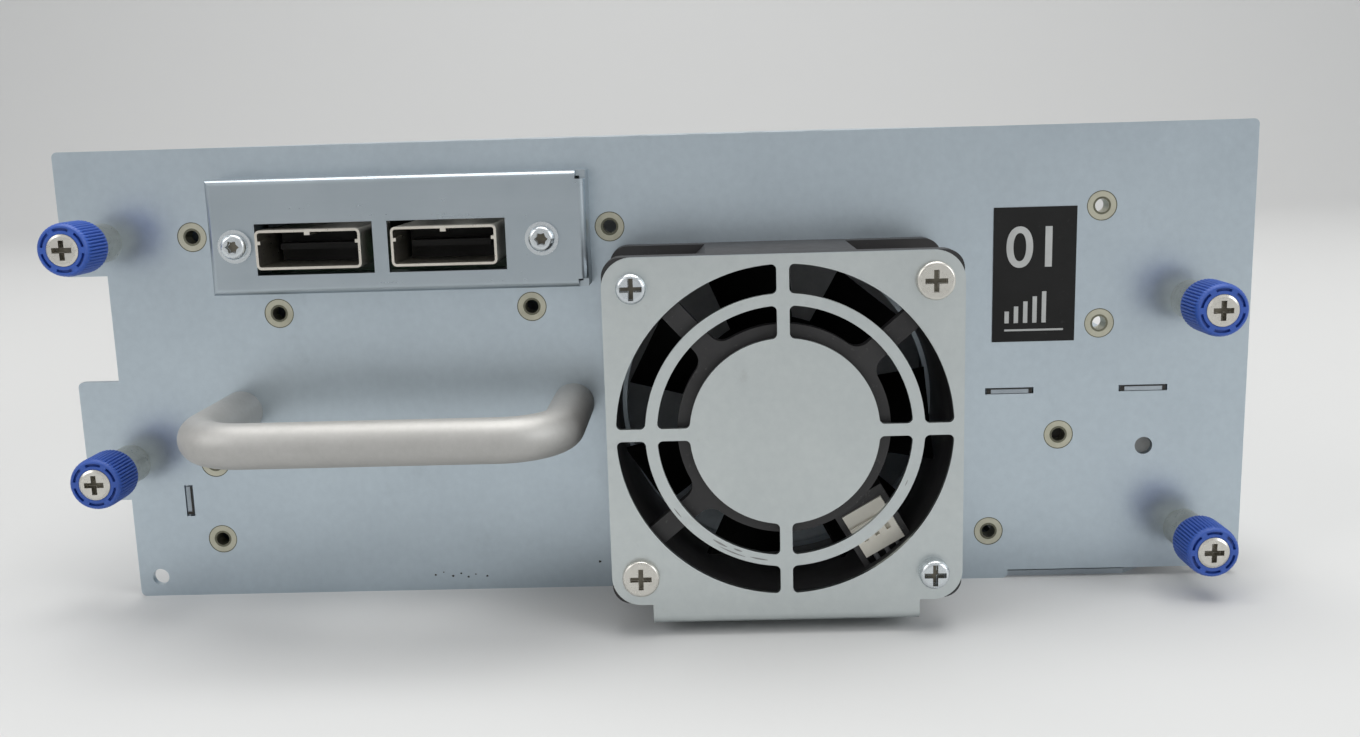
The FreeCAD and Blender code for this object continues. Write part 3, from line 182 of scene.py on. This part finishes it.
METALS = {
    "zinc_panel": dict(tone=(0.505, 0.58, 0.635), shade=(0.455, 0.525, 0.58),
                       rough=(0.28, 0.38), grain=2300, patch=26, depth=0.09, marks=0.1),
    "zinc_cover": dict(tone=(0.43, 0.485, 0.525), shade=(0.39, 0.445, 0.485),
                       rough=(0.27, 0.33), grain=700, patch=60, stretch=(0.05, 1.0, 1.0),
                       depth=0.012, marks=0.0),
    "zinc_inner": dict(tone=(0.52, 0.56, 0.58), shade=(0.42, 0.46, 0.48)),
    "zinc_tray": dict(tone=(0.44, 0.49, 0.53), shade=(0.39, 0.44, 0.48), rough=(0.5, 0.62),
                      grain=1500, patch=40, metallic=0.4, marks=0.2),
    "guard_zinc": dict(tone=(0.56, 0.6, 0.6), shade=(0.51, 0.55, 0.555), rough=(0.3, 0.4),
                       grain=2000, patch=40, depth=0.08, marks=0.2,
                       mark_tone=(0.25, 0.24, 0.22)),
    "ferrule_zinc": dict(tone=(0.55, 0.55, 0.52), shade=(0.42, 0.42, 0.38), rough=(0.25, 0.4),
                         grain=2500, patch=160),
    "nut_steel": dict(tone=(0.56, 0.55, 0.45), shade=(0.46, 0.45, 0.36), rough=(0.35, 0.5),
                      grain=1800, patch=160, marks=0.15),
    "screw_zinc": dict(tone=(0.66, 0.7, 0.72), shade=(0.58, 0.62, 0.65), rough=(0.22, 0.3),
                       grain=900, patch=120, depth=0.015, marks=0.0),
    "screw_nickel": dict(tone=(0.66, 0.645, 0.6), shade=(0.6, 0.585, 0.54),
                         rough=(0.24, 0.36), grain=2400, patch=120, marks=0.02),
    "shell_nickel": dict(tone=(0.74, 0.71, 0.64), shade=(0.64, 0.61, 0.54), rough=(0.26, 0.4),
                         grain=2200, patch=120, marks=0.1),
    "spring_steel": dict(tone=(0.5, 0.5, 0.5), shade=(0.36, 0.36, 0.36), rough=(0.2, 0.35),
                         grain=3000, patch=400),
    "handle_aluminium": dict(tone=(0.49, 0.485, 0.47), shade=(0.445, 0.44, 0.425),
                             rough=(0.5, 0.58), grain=3400, patch=120, metallic=0.65,
                             marks=0.08),
    "drive_metal": dict(tone=(0.5, 0.51, 0.52), shade=(0.42, 0.43, 0.44), rough=(0.35, 0.5),
                        grain=1800, patch=40, stretch=(1, 0.06, 1), depth=0.08, marks=0.2),
    "coil_copper": dict(tone=(0.5, 0.24, 0.1), shade=(0.38, 0.17, 0.07), rough=(0.3, 0.45),
                        grain=1200, patch=200, stretch=(1, 8, 1), depth=0.3),
    # the last two paint the shade on small pieces of the scene, not parts of the CAD
    "nut_shade": dict(tone=(0.2, 0.2, 0.15), shade=(0.12, 0.12, 0.09)),
    "recess_shade": dict(tone=(0.2, 0.185, 0.15), shade=(0.1, 0.092, 0.075),
                         rough=(0.35, 0.5), grain=2600, patch=120, marks=0.3),
}
PLASTICS = {
    "label_film": dict(tone=(0.007, 0.007, 0.007), shade=(0.011, 0.011, 0.011),
                       rough=(0.4, 0.5), grain=2600, depth=0.05, dust=0.06, gloss=0.25),
    "plastic_black": dict(tone=(0.005, 0.005, 0.005), shade=(0.009, 0.009, 0.009),
                          dust=0.03, gloss=0.2),
    "fan_black": dict(tone=(0.02, 0.019, 0.02), shade=(0.03, 0.029, 0.03), rough=(0.45, 0.6),
                      grain=2600, depth=0.15, dust=0.25),
    "fan_rotor_black": dict(tone=(0.004, 0.004, 0.004), shade=(0.007, 0.007, 0.007),
                            rough=(0.6, 0.75), grain=2600, dust=0.0, gloss=0.02),
    "board_green": dict(tone=(0.007, 0.05, 0.022), shade=(0.011, 0.075, 0.032),
                        rough=(0.3, 0.42), grain=800, depth=0.05, dust=0.1),
    "plug_white": dict(tone=(0.76, 0.73, 0.65), shade=(0.68, 0.65, 0.57), rough=(0.35, 0.5),
                       grain=2600, depth=0.08, dust=0.2, dust_tone=(0.3, 0.27, 0.22)),
    # the black leads are given a mid-grey colour: painted sheen, which also lifts them out of
    # their shade
    "lead_black": dict(tone=(0.22, 0.22, 0.23), shade=(0.28, 0.28, 0.29), rough=(0.2, 0.32)),
    "knob_blue": dict(tone=(0.035, 0.105, 0.46), shade=(0.028, 0.085, 0.38),
                      rough=(0.36, 0.5), grain=3200, depth=0.1, dust_tone=(0.35, 0.42, 0.6)),
    "bezel_plastic": dict(tone=(0.025, 0.025, 0.027), shade=(0.034, 0.034, 0.036),
                          rough=(0.45, 0.6), grain=1600, depth=0.35, dust=0.2),
    "door_plastic": dict(tone=(0.034, 0.034, 0.036), shade=(0.044, 0.044, 0.046),
                         rough=(0.35, 0.5), grain=2200, depth=0.2, dust=0.2),
    "button_plastic": dict(tone=(0.2, 0.21, 0.22), shade=(0.26, 0.27, 0.28)),
    "light_clear": dict(tone=(0.42, 0.5, 0.42), shade=(0.5, 0.58, 0.5), rough=(0.12, 0.25)),
    # the rest colour small pieces of the scene, not parts of the CAD
    # grey: painted shade behind the pilot hole
    "hole_shade": dict(tone=(0.19, 0.19, 0.18), shade=(0.24, 0.24, 0.23), rough=(0.5, 0.6)),
    # near black: painted shade in the tab slots and in the blind nut's bore, and the panel's real
    # chips
    "chips_and_painted_shade": dict(tone=(0.012, 0.011, 0.009), shade=(0.03, 0.027, 0.022),
                        rough=(0.55, 0.7), grain=2600, depth=0.3, dust=0.2),
    "scuff_grey": dict(tone=(0.2, 0.2, 0.2), shade=(0.3, 0.3, 0.3), rough=(0.5, 0.6)),
    "print_grey": dict(tone=(0.58, 0.59, 0.58), shade=(0.48, 0.49, 0.48), rough=(0.4, 0.55),
                       grain=3000, depth=0.05, dust=0.3, dust_tone=(0.2, 0.2, 0.2)),
}
looks = {name: sheet_metal(name, **values) for name, values in METALS.items()}
looks.update({name: plastic(name, **values) for name, values in PLASTICS.items()})
for part in frame["record"]["subparts"]:
    mesh = frame["nodes"][part["node"]].data
    mesh.materials.clear()
    mesh.materials.append(looks[part["material_slot"]].material)


# ---------------------------------------------------------------- small visual pieces
def piece(name, points, faces, slot, body="module", look=None, smooth=True):
    """A mesh piece in the frame's metres that rides on a body."""
    mesh = bpy.data.meshes.new(name)
    mesh.from_pydata([tuple(p) for p in points], [], faces)
    mesh.validate()
    mesh.update()
    if smooth:
        mesh.shade_smooth()
        mesh.set_sharp_from_angle(angle=math.radians(35))
    obj = bpy.data.objects.new(name, mesh)
    bpy.context.scene.collection.objects.link(obj)
    mesh.materials.append(looks[look or slot].material)
    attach(obj, body)
    return obj


def tube_grid(rows, columns, closed_rows):
    """Faces of a grid of points that closes round its columns, and over its rows if asked."""
    faces = []
    for i in range(rows if closed_rows else rows - 1):
        for j in range(columns):
            a, b = i * columns + j, i * columns + (j + 1) % columns
            c = ((i + 1) % rows) * columns + (j + 1) % columns
            e = ((i + 1) % rows) * columns + j
            faces.append((a, b, c, e))
    return faces


# ---------------------------------------------------------------- captive thumbscrews
KNOBS = {"upper_left": (-0.2, 68.7), "lower_left": (0.8, 26.6),
         "upper_right": (200.2, 53.0), "lower_right": (200.6, 9.4)}
KNOB_FRONT, KNOB_BACK, KNOB_ROOF = -15.5, -7.8, -12.6
RIBS, STEPS_PER_RIB, RIB_DEPTH = 48, 8, 0.36
GROOVE_DEPTH, GROOVE_PITCH, GROOVE_HALF = 0.65, 60, 21    # the last two in degrees


def ribbed_knob(side, x, z):
    """The blue knob with its fine ribs and the ring of arc grooves in its front."""
    front, back, seat = KNOB_FRONT, KNOB_BACK, KNOB_FRONT + 1.3
    # radius, length, share of rib depth, share of groove depth
    outline = [(2.03, seat, 0, 0), (2.85, seat, 0, 0), (2.85, front + 0.05, 0, 0),
               (2.9, front, 0, 0), (3.42, front, 0, 0), (3.46, front, 0, 1),
               (3.88, front, 0, 1), (3.92, front, 0, 0), (4.2, front, 0, 0),
               (4.45, front + 0.2, 0, 0), (4.62, front + 0.6, 0.2, 0),
               (4.72, front + 1.1, 0.8, 0), (4.75, front + 1.6, 1, 0),
               (4.75, back - 0.7, 1, 0), (4.7, back - 0.25, 0.6, 0), (4.55, back, 0, 0),
               (4.0, back, 0, 0), (4.0, KNOB_ROOF, 0, 0), (2.03, KNOB_ROOF, 0, 0)]
    columns = RIBS * STEPS_PER_RIB
    points = []
    for r, y, rib, groove in outline:
        for j in range(columns):
            turn = 2 * math.pi * j / columns
            wave = (0.5 - 0.5 * math.cos(RIBS * turn)) ** 2.5
            off_middle = abs((math.degrees(turn) % GROOVE_PITCH) - GROOVE_PITCH / 2)
            radius = r - RIB_DEPTH * rib * wave
            depth = y + (GROOVE_DEPTH if groove and off_middle < GROOVE_HALF else 0.0)
            points.append(at(x + radius * math.cos(turn), depth, z + radius * math.sin(turn)))
    faces = tube_grid(len(outline), columns, True)
    knob = piece("ribbed_knob_" + side, points, faces, "knob_blue", side + "_knob")
    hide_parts("thumbscrew_knob_" + side)


def coil_spring(side, x, z):
    """The coil between knob and ferrule."""
    mean, wire, turns, around, steps_per_turn = 2.55, 0.29, 6, 7, 20
    start, end = KNOB_ROOF + 0.05, -1.25
    steps = turns * steps_per_turn
    points = []
    for i in range(steps + 1):
        share = i / steps
        turn = 2 * math.pi * turns * share
        y = start + wire + (end - start - 2 * wire) * share
        for j in range(around):
            roll = 2 * math.pi * j / around
            radius = mean + wire * math.cos(roll)
            points.append(at(x + radius * math.cos(turn), y + wire * math.sin(roll),
                             z + radius * math.sin(turn)))
    faces = tube_grid(steps + 1, around, False)
    faces.append(tuple(range(around)))
    faces.append(tuple(reversed(range(steps * around, (steps + 1) * around))))
    coil = piece("coil_" + side, points, faces, "spring_steel", "module")
    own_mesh(coil)
    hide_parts("thumbscrew_spring_" + side)


for side, (x, z) in KNOBS.items():
    ribbed_knob(side, x, z)
    coil_spring(side, x, z)


# ---------------------------------------------------------------- flat shapes
def flat_text(name, text, size, centre, y):
    """A plain number standing on a face that looks towards -Y."""
    curve = bpy.data.curves.new(name, "FONT")
    curve.body = text
    curve.size = size / 1000.0
    curve.extrude = 0.00002
    curve.offset = 0.00012
    curve.align_x = "CENTER"
    curve.align_y = "CENTER"
    holder = bpy.data.objects.new(name + "_curve", curve)
    bpy.context.scene.collection.objects.link(holder)
    bpy.context.view_layer.update()
    graph = bpy.context.evaluated_depsgraph_get()
    mesh = bpy.data.meshes.new_from_object(holder.evaluated_get(graph))
    bpy.data.objects.remove(holder)
    mesh.transform(Matrix.Rotation(math.radians(90), 4, "X"))
    mesh.transform(Matrix.Translation(at(centre[0], y, centre[1])))
    mesh.materials.clear()
    mesh.materials.append(looks["print_grey"].material)
    obj = bpy.data.objects.new(name, mesh)
    bpy.context.scene.collection.objects.link(obj)
    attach(obj, "module")


def flat_bar(name, x0, x1, z0, z1, y, thick=0.02, slot="label_film", look="print_grey"):
    """A thin bar on a face that looks towards -Y."""
    points = [at(x, d, z) for d in (y, y + thick) for x, z in
              ((x0, z0), (x1, z0), (x1, z1), (x0, z1))]
    faces = [(0, 1, 2, 3), (7, 6, 5, 4), (4, 5, 1, 0), (5, 6, 2, 1), (6, 7, 3, 2), (7, 4, 0, 3)]
    piece(name, points, faces, slot, "module", look, False)


def flat_ring(name, x, z, inner, outer, y, slot, look):
    """A thin ring on a face that looks towards -Y, or a disc when inner is nought."""
    steps = 40
    turns = [2 * math.pi * i / steps for i in range(steps)]
    points = [at(x + r * math.cos(t), y, z + r * math.sin(t)) for r in (outer, inner)
              for t in turns]
    if inner:
        faces = [(i, (i + 1) % steps, (i + 1) % steps + steps, i + steps) for i in range(steps)]
    else:
        points, faces = points[:steps], [tuple(range(steps))]
    piece(name, points, faces, slot, "module", look, False)


# ---------------------------------------------------------------- painted shade in driver recesses
def cross_outline(arm, width):
    """The twelve corners of a cross, a little inside the recess it fills."""
    a, w = arm - 0.04, width / 2 - 0.04
    return [(w, -a), (w, -w), (a, -w), (a, w), (w, w), (w, a),
            (-w, a), (-w, w), (-a, w), (-a, -w), (-w, -w), (-w, -a)]


def star_outline(reach):
    """The twelve corners of a six-pointed star."""
    turns = [math.radians(30 * i) for i in range(12)]
    radii = [reach * (1, 0.72)[i % 2] for i in range(12)]
    return [(r * math.cos(turn), r * math.sin(turn)) for r, turn in zip(radii, turns)]


def recess_film(name, x, z, ring, floor, slot, body="module"):
    """A dark film on the floor of a driver recess with a twelve-cornered outline: painted shade
    for the recess.
    """
    points = [at(x + u, y, z + v) for y in (floor - 0.05, floor - 0.01) for u, v in ring]
    sides = [(i, i + 12, (i + 1) % 12 + 12, (i + 1) % 12) for i in range(12)]
    faces = [tuple(range(12)), tuple(reversed(range(12, 24)))] + sides
    piece(name, points, faces, slot, body, "recess_shade", False)


FAN_MIDDLE = (123.85, 35.8)
FAN_SCREW_OUT = 25.0    # from the fan's middle to its screws, each way
GUARD_FACE = -25.9
GUARD_CROSS = cross_outline(1.85, 0.87)
KNOB_CROSS = cross_outline(1.75, 0.95)
COVER_STAR = star_outline(1.18)
GUARD_SCREWS = (("pan", ((-1, 1), (1, -1)), 0.6, "screw_zinc"),
                ("flat", ((-1, -1), (1, 1)), 0.2, "screw_nickel"))
COVER_SCREWS, COVER_SCREW_HIGH, COVER_RECESS_FLOOR = (27.4, 82.3), 68.0, -8.9

# dark films paint the shade on the floor of each screw's cross or star recess
for kind, corners, proud, slot in GUARD_SCREWS:
    for i, (u, v) in enumerate(corners):
        recess_film("dirt_%s_%d" % (kind, i), FAN_MIDDLE[0] + FAN_SCREW_OUT * u,
                    FAN_MIDDLE[1] + FAN_SCREW_OUT * v, GUARD_CROSS, GUARD_FACE - proud, slot)
for side, (x, z) in KNOBS.items():
    recess_film("dirt_" + side, x, z, KNOB_CROSS, KNOB_FRONT + 1.6, "screw_nickel",
                side + "_knob")
for i, x in enumerate(COVER_SCREWS):
    recess_film("dirt_cover_%d" % i, x, COVER_SCREW_HIGH, COVER_STAR, COVER_RECESS_FLOOR,
                "screw_zinc")


# ---------------------------------------------------------------- wear on guard and panel
def ring_scuff(name, radius, start, end, width):
    """A thin rubbed streak that follows the guard's outer ring."""
    steps = 8
    points = []
    for i in range(steps + 1):
        share = i / steps
        turn = math.radians(start + (end - start) * share)
        half = width / 2 * math.sin(math.pi * (0.08 + 0.84 * share))
        for r in (radius - half, radius + half):
            points.append(at(FAN_MIDDLE[0] + r * math.cos(turn), GUARD_FACE - 0.012,
                             FAN_MIDDLE[1] + r * math.sin(turn)))
    faces = [(2 * i, 2 * i + 1, 2 * i + 3, 2 * i + 2) for i in range(steps)]
    piece(name, points, faces, "guard_zinc", "module", "scuff_grey", False)


def panel_speck(name, x, z, radius, turned):
    """A small dark chip with six uneven corners, just off the panel's outer face."""
    turns = [math.radians(60 * k + turned) for k in range(6)]
    points = [at(x + radius * (1, 0.55)[k % 2] * math.cos(t), -0.012,
                 z + 0.7 * radius * math.sin(t)) for k, t in enumerate(turns)]
    piece(name, points, [tuple(range(6))], "zinc_panel", "module", "chips_and_painted_shade", False)


# radius, where the streak starts and ends in degrees, width
SCUFFS = [(22.3, 236, 243, 0.34), (22.8, 240, 252, 0.24), (22.1, 246, 250, 0.3),
          (22.6, 254, 262, 0.26), (22.9, 214, 219, 0.2), (22.4, 334, 337, 0.16)]
for i, scuff in enumerate(SCUFFS):
    ring_scuff("ring_scuff_%d" % i, *scuff)


# ---------------------------------------------------------------- clinch nuts and holes
BLIND_NUT = (176.7, 28.0)
NUTS = [(16.5, 69.3), (31.5, 54.7), (78.8, 54.8), (93.8, 69.2), (16.9, 11.2),
        (16.8, 26.3), (183.6, 70.6), (183.7, 49.0), BLIND_NUT, (163.9, 9.4)]
NUT_EDGE, NUT_MOUTH = (2.58, 2.74), (1.26, 1.62)    # inner and outer radius of each ring
BLIND_BORE, BLIND_END = 1.24, 2.6
PILOT_HOLE, PILOT_RADIUS, PILOT_FLOOR = (192.7, 25.5), 1.62, 1.12

# dark rings paint the shade at each nut's rim and in its chamfered mouth
for i, (x, z) in enumerate(NUTS):
    flat_ring("nut_edge_%d" % i, x, z, *NUT_EDGE, 0.015, "nut_steel", "nut_shade")
    flat_ring("nut_mouth_%d" % i, x, z, *NUT_MOUTH, 0.018, "nut_steel", "nut_shade")
# a near-black disc deep in the blind nut's bore is painted shade, and so is the grey disc behind
# the pilot hole
flat_ring("blind_end", *BLIND_NUT, 0, BLIND_BORE, BLIND_END, "nut_steel", "chips_and_painted_shade")
flat_ring("pilot_hole_floor", *PILOT_HOLE, 0, PILOT_RADIUS, PILOT_FLOOR, "zinc_inner",
          "hole_shade")

# place and radius of each chip
SPECKS = [(57.6, 3.0, 0.3), (59.2, 3.5, 0.2), (61.0, 2.7, 0.34), (62.6, 3.2, 0.28),
          (64.0, 2.5, 0.3), (65.4, 3.0, 0.22), (67.6, 2.6, 0.3), (89.5, 5.0, 0.36)]
for i, (x, z, r) in enumerate(SPECKS):
    panel_speck("panel_speck_%d" % i, x, z, r, 17 * i)


# ---------------------------------------------------------------- label
LABEL_FACE = -0.27
PRINT_FACE = LABEL_FACE - 0.02
NUMBER_SIZE, NUMBER_MIDDLE = 10.5, (171.4, 63.0)
TICKS, TICK_LEFT, TICK_PITCH, TICK_WIDE = 5, 166.2, 1.7, 0.8
TICK_FOOT, TICK_TOP, TICK_RISE = 49.4, 51.6, 0.9
RULE_RIGHT, RULE_LOW, RULE_HIGH = 177.0, 47.9, 48.25

flat_text("label_number", "01", NUMBER_SIZE, NUMBER_MIDDLE, LABEL_FACE)
for i in range(TICKS):
    left = TICK_LEFT + TICK_PITCH * i
    flat_bar("label_tick_%d" % i, left, left + TICK_WIDE, TICK_FOOT, TICK_TOP + TICK_RISE * i,
             PRINT_FACE)
flat_bar("label_rule", TICK_LEFT, RULE_RIGHT, RULE_LOW, RULE_HIGH, PRINT_FACE)


# ---------------------------------------------------------------- tab slots
# dark bars paint the shade where the tabs' rounded ends fall back inside their slots
TAB_FACE, TAB_SHADE_THICK = 0.06, 0.03
TAB_SLOTS = ((163.2, 171.6), (188.0, 196.4))
TAB_LOW, TAB_HIGH = 36.1, 37.1
SHADE_LEFT, SHADE_RIGHT, SHADE_TOP = 0.8, 0.6, 0.22


def tab_shade(name, x0, x1, z0, z1, slot):
    flat_bar(name, x0, x1, z0, z1, TAB_FACE, TAB_SHADE_THICK, slot, "chips_and_painted_shade")


for i, (left, right) in enumerate(TAB_SLOTS):
    inner_left, inner_right = left + SHADE_LEFT, right - SHADE_RIGHT
    tab_shade("tab_left_%d" % i, left, inner_left, TAB_LOW, TAB_HIGH, "zinc_inner")
    tab_shade("tab_right_%d" % i, inner_right, right, TAB_LOW, TAB_HIGH, "zinc_inner")
    tab_shade("tab_top_%d" % i, inner_left, inner_right, TAB_HIGH - SHADE_TOP, TAB_HIGH,
              "zinc_inner")
# the tray's tab gets the same painted shade along its lower and right edges
TRAY_TAB_RIGHT, TRAY_TAB_STEP = 11.8, 16.75
tab_shade("tray_tab_low", 10.6, TRAY_TAB_RIGHT, 16.2, TRAY_TAB_STEP, "zinc_tray")
tab_shade("tray_tab_side", 11.45, TRAY_TAB_RIGHT, TRAY_TAB_STEP, 21.7, "zinc_tray")


# ---------------------------------------------------------------- studio
def sweep_floor():
    """A pale floor that curves up into a backdrop behind the object."""
    half, bend_start, bend_radius, top, steps = 3.0, 0.9, 0.5, 2.5, 12
    outline = [(-half, 0.0), (bend_start, 0.0)]
    for i in range(1, steps + 1):
        turn = math.radians(90 * i / steps)
        outline.append((bend_start + bend_radius * math.sin(turn),
                        bend_radius - bend_radius * math.cos(turn)))
    outline.append((bend_start + bend_radius, top))
    points = [(x, y, z) for y, z in outline for x in (-half, half)]
    faces = [(2 * i, 2 * i + 1, 2 * i + 3, 2 * i + 2) for i in range(len(outline) - 1)]
    mesh = bpy.data.meshes.new("sweep_floor")
    mesh.from_pydata(points, [], faces)
    mesh.shade_smooth()
    obj = bpy.data.objects.new("sweep_floor", mesh)
    bpy.context.scene.collection.objects.link(obj)
    look = Look("sweep_floor_look")
    look.set(Base_Color=(0.66, 0.66, 0.655, 1.0), Roughness=0.6)
    mesh.materials.append(look.material)


def area_light(name, place, target, size, power, colour):
    """A soft rectangular light at one point, turned towards another."""
    data = bpy.data.lights.new(name, "AREA")
    data.shape = "RECTANGLE"
    data.size, data.size_y = size
    data.energy = power
    data.color = colour
    obj = bpy.data.objects.new(name, data)
    bpy.context.scene.collection.objects.link(obj)
    obj.location = place
    aim = Vector(target) - Vector(place)
    obj.rotation_euler = aim.to_track_quat("-Z", "Y").to_euler()


def studio_sky():
    """A pale room all round, and the plain background that the camera, metal and glass see."""
    world = bpy.data.worlds.new("studio")
    bpy.context.scene.world = world
    world.use_nodes = True
    tree = world.node_tree
    light = tree.nodes["Background"]
    light.inputs["Color"].default_value = (0.92, 0.96, 1.0, 1)
    light.inputs["Strength"].default_value = 0.34
    seen = tree.nodes.new("ShaderNodeBackground")
    seen.inputs["Color"].default_value = (0.62, 0.62, 0.62, 1)
    pick = tree.nodes.new("ShaderNodeMixShader")
    path = tree.nodes.new("ShaderNodeLightPath")
    shown = path.outputs["Is Camera Ray"]
    for kind in ("Is Glossy Ray", "Is Transmission Ray"):
        either = tree.nodes.new("ShaderNodeMath")
        either.operation = "MAXIMUM"
        tree.links.new(shown, either.inputs[0])
        tree.links.new(path.outputs[kind], either.inputs[1])
        shown = either.outputs[0]
    tree.links.new(shown, pick.inputs[0])
    tree.links.new(light.outputs[0], pick.inputs[1])
    tree.links.new(seen.outputs[0], pick.inputs[2])
    tree.links.new(pick.outputs[0], tree.nodes["World Output"].inputs["Surface"])


sweep_floor()
area_light("top_soft", (0.05, 0.06, 1.4), (0, -0.05, 0), (1.5, 1.2), 18.5, (1.0, 0.99, 0.97))
area_light("left_soft", (-1.3, -0.9, 0.9), (0, -0.1, 0.05), (0.9, 0.9), 6, (1.0, 0.99, 0.98))
area_light("right_soft", (1.4, -0.9, 0.7), (0, -0.1, 0.05), (0.9, 0.9), 8, (0.97, 0.99, 1.0))
studio_sky()

scene = bpy.context.scene
scene.view_settings.view_transform = "Standard"


# ---------------------------------------------------------------- camera
CAMERA_PLACE = (111.07, -237.09, 85.90)
CAMERA_RIGHT = Vector((0.99947, 0.01627, -0.02810))
CAMERA_UP = Vector((0.02469, 0.18099, 0.98318))
CAMERA_FORWARD = Vector((-0.02109, 0.98335, -0.18049))

data = bpy.data.cameras.new("camera")
data.sensor_width = 36.0
data.lens = 34.11
data.clip_start = 0.01
data.clip_end = 20.0
camera = bpy.data.objects.new("camera", data)
scene.collection.objects.link(camera)
turn = Matrix((CAMERA_RIGHT, CAMERA_UP, -CAMERA_FORWARD)).transposed().to_4x4()
camera.matrix_world = Matrix.Translation(at(*CAMERA_PLACE)) @ turn
scene.camera = camera
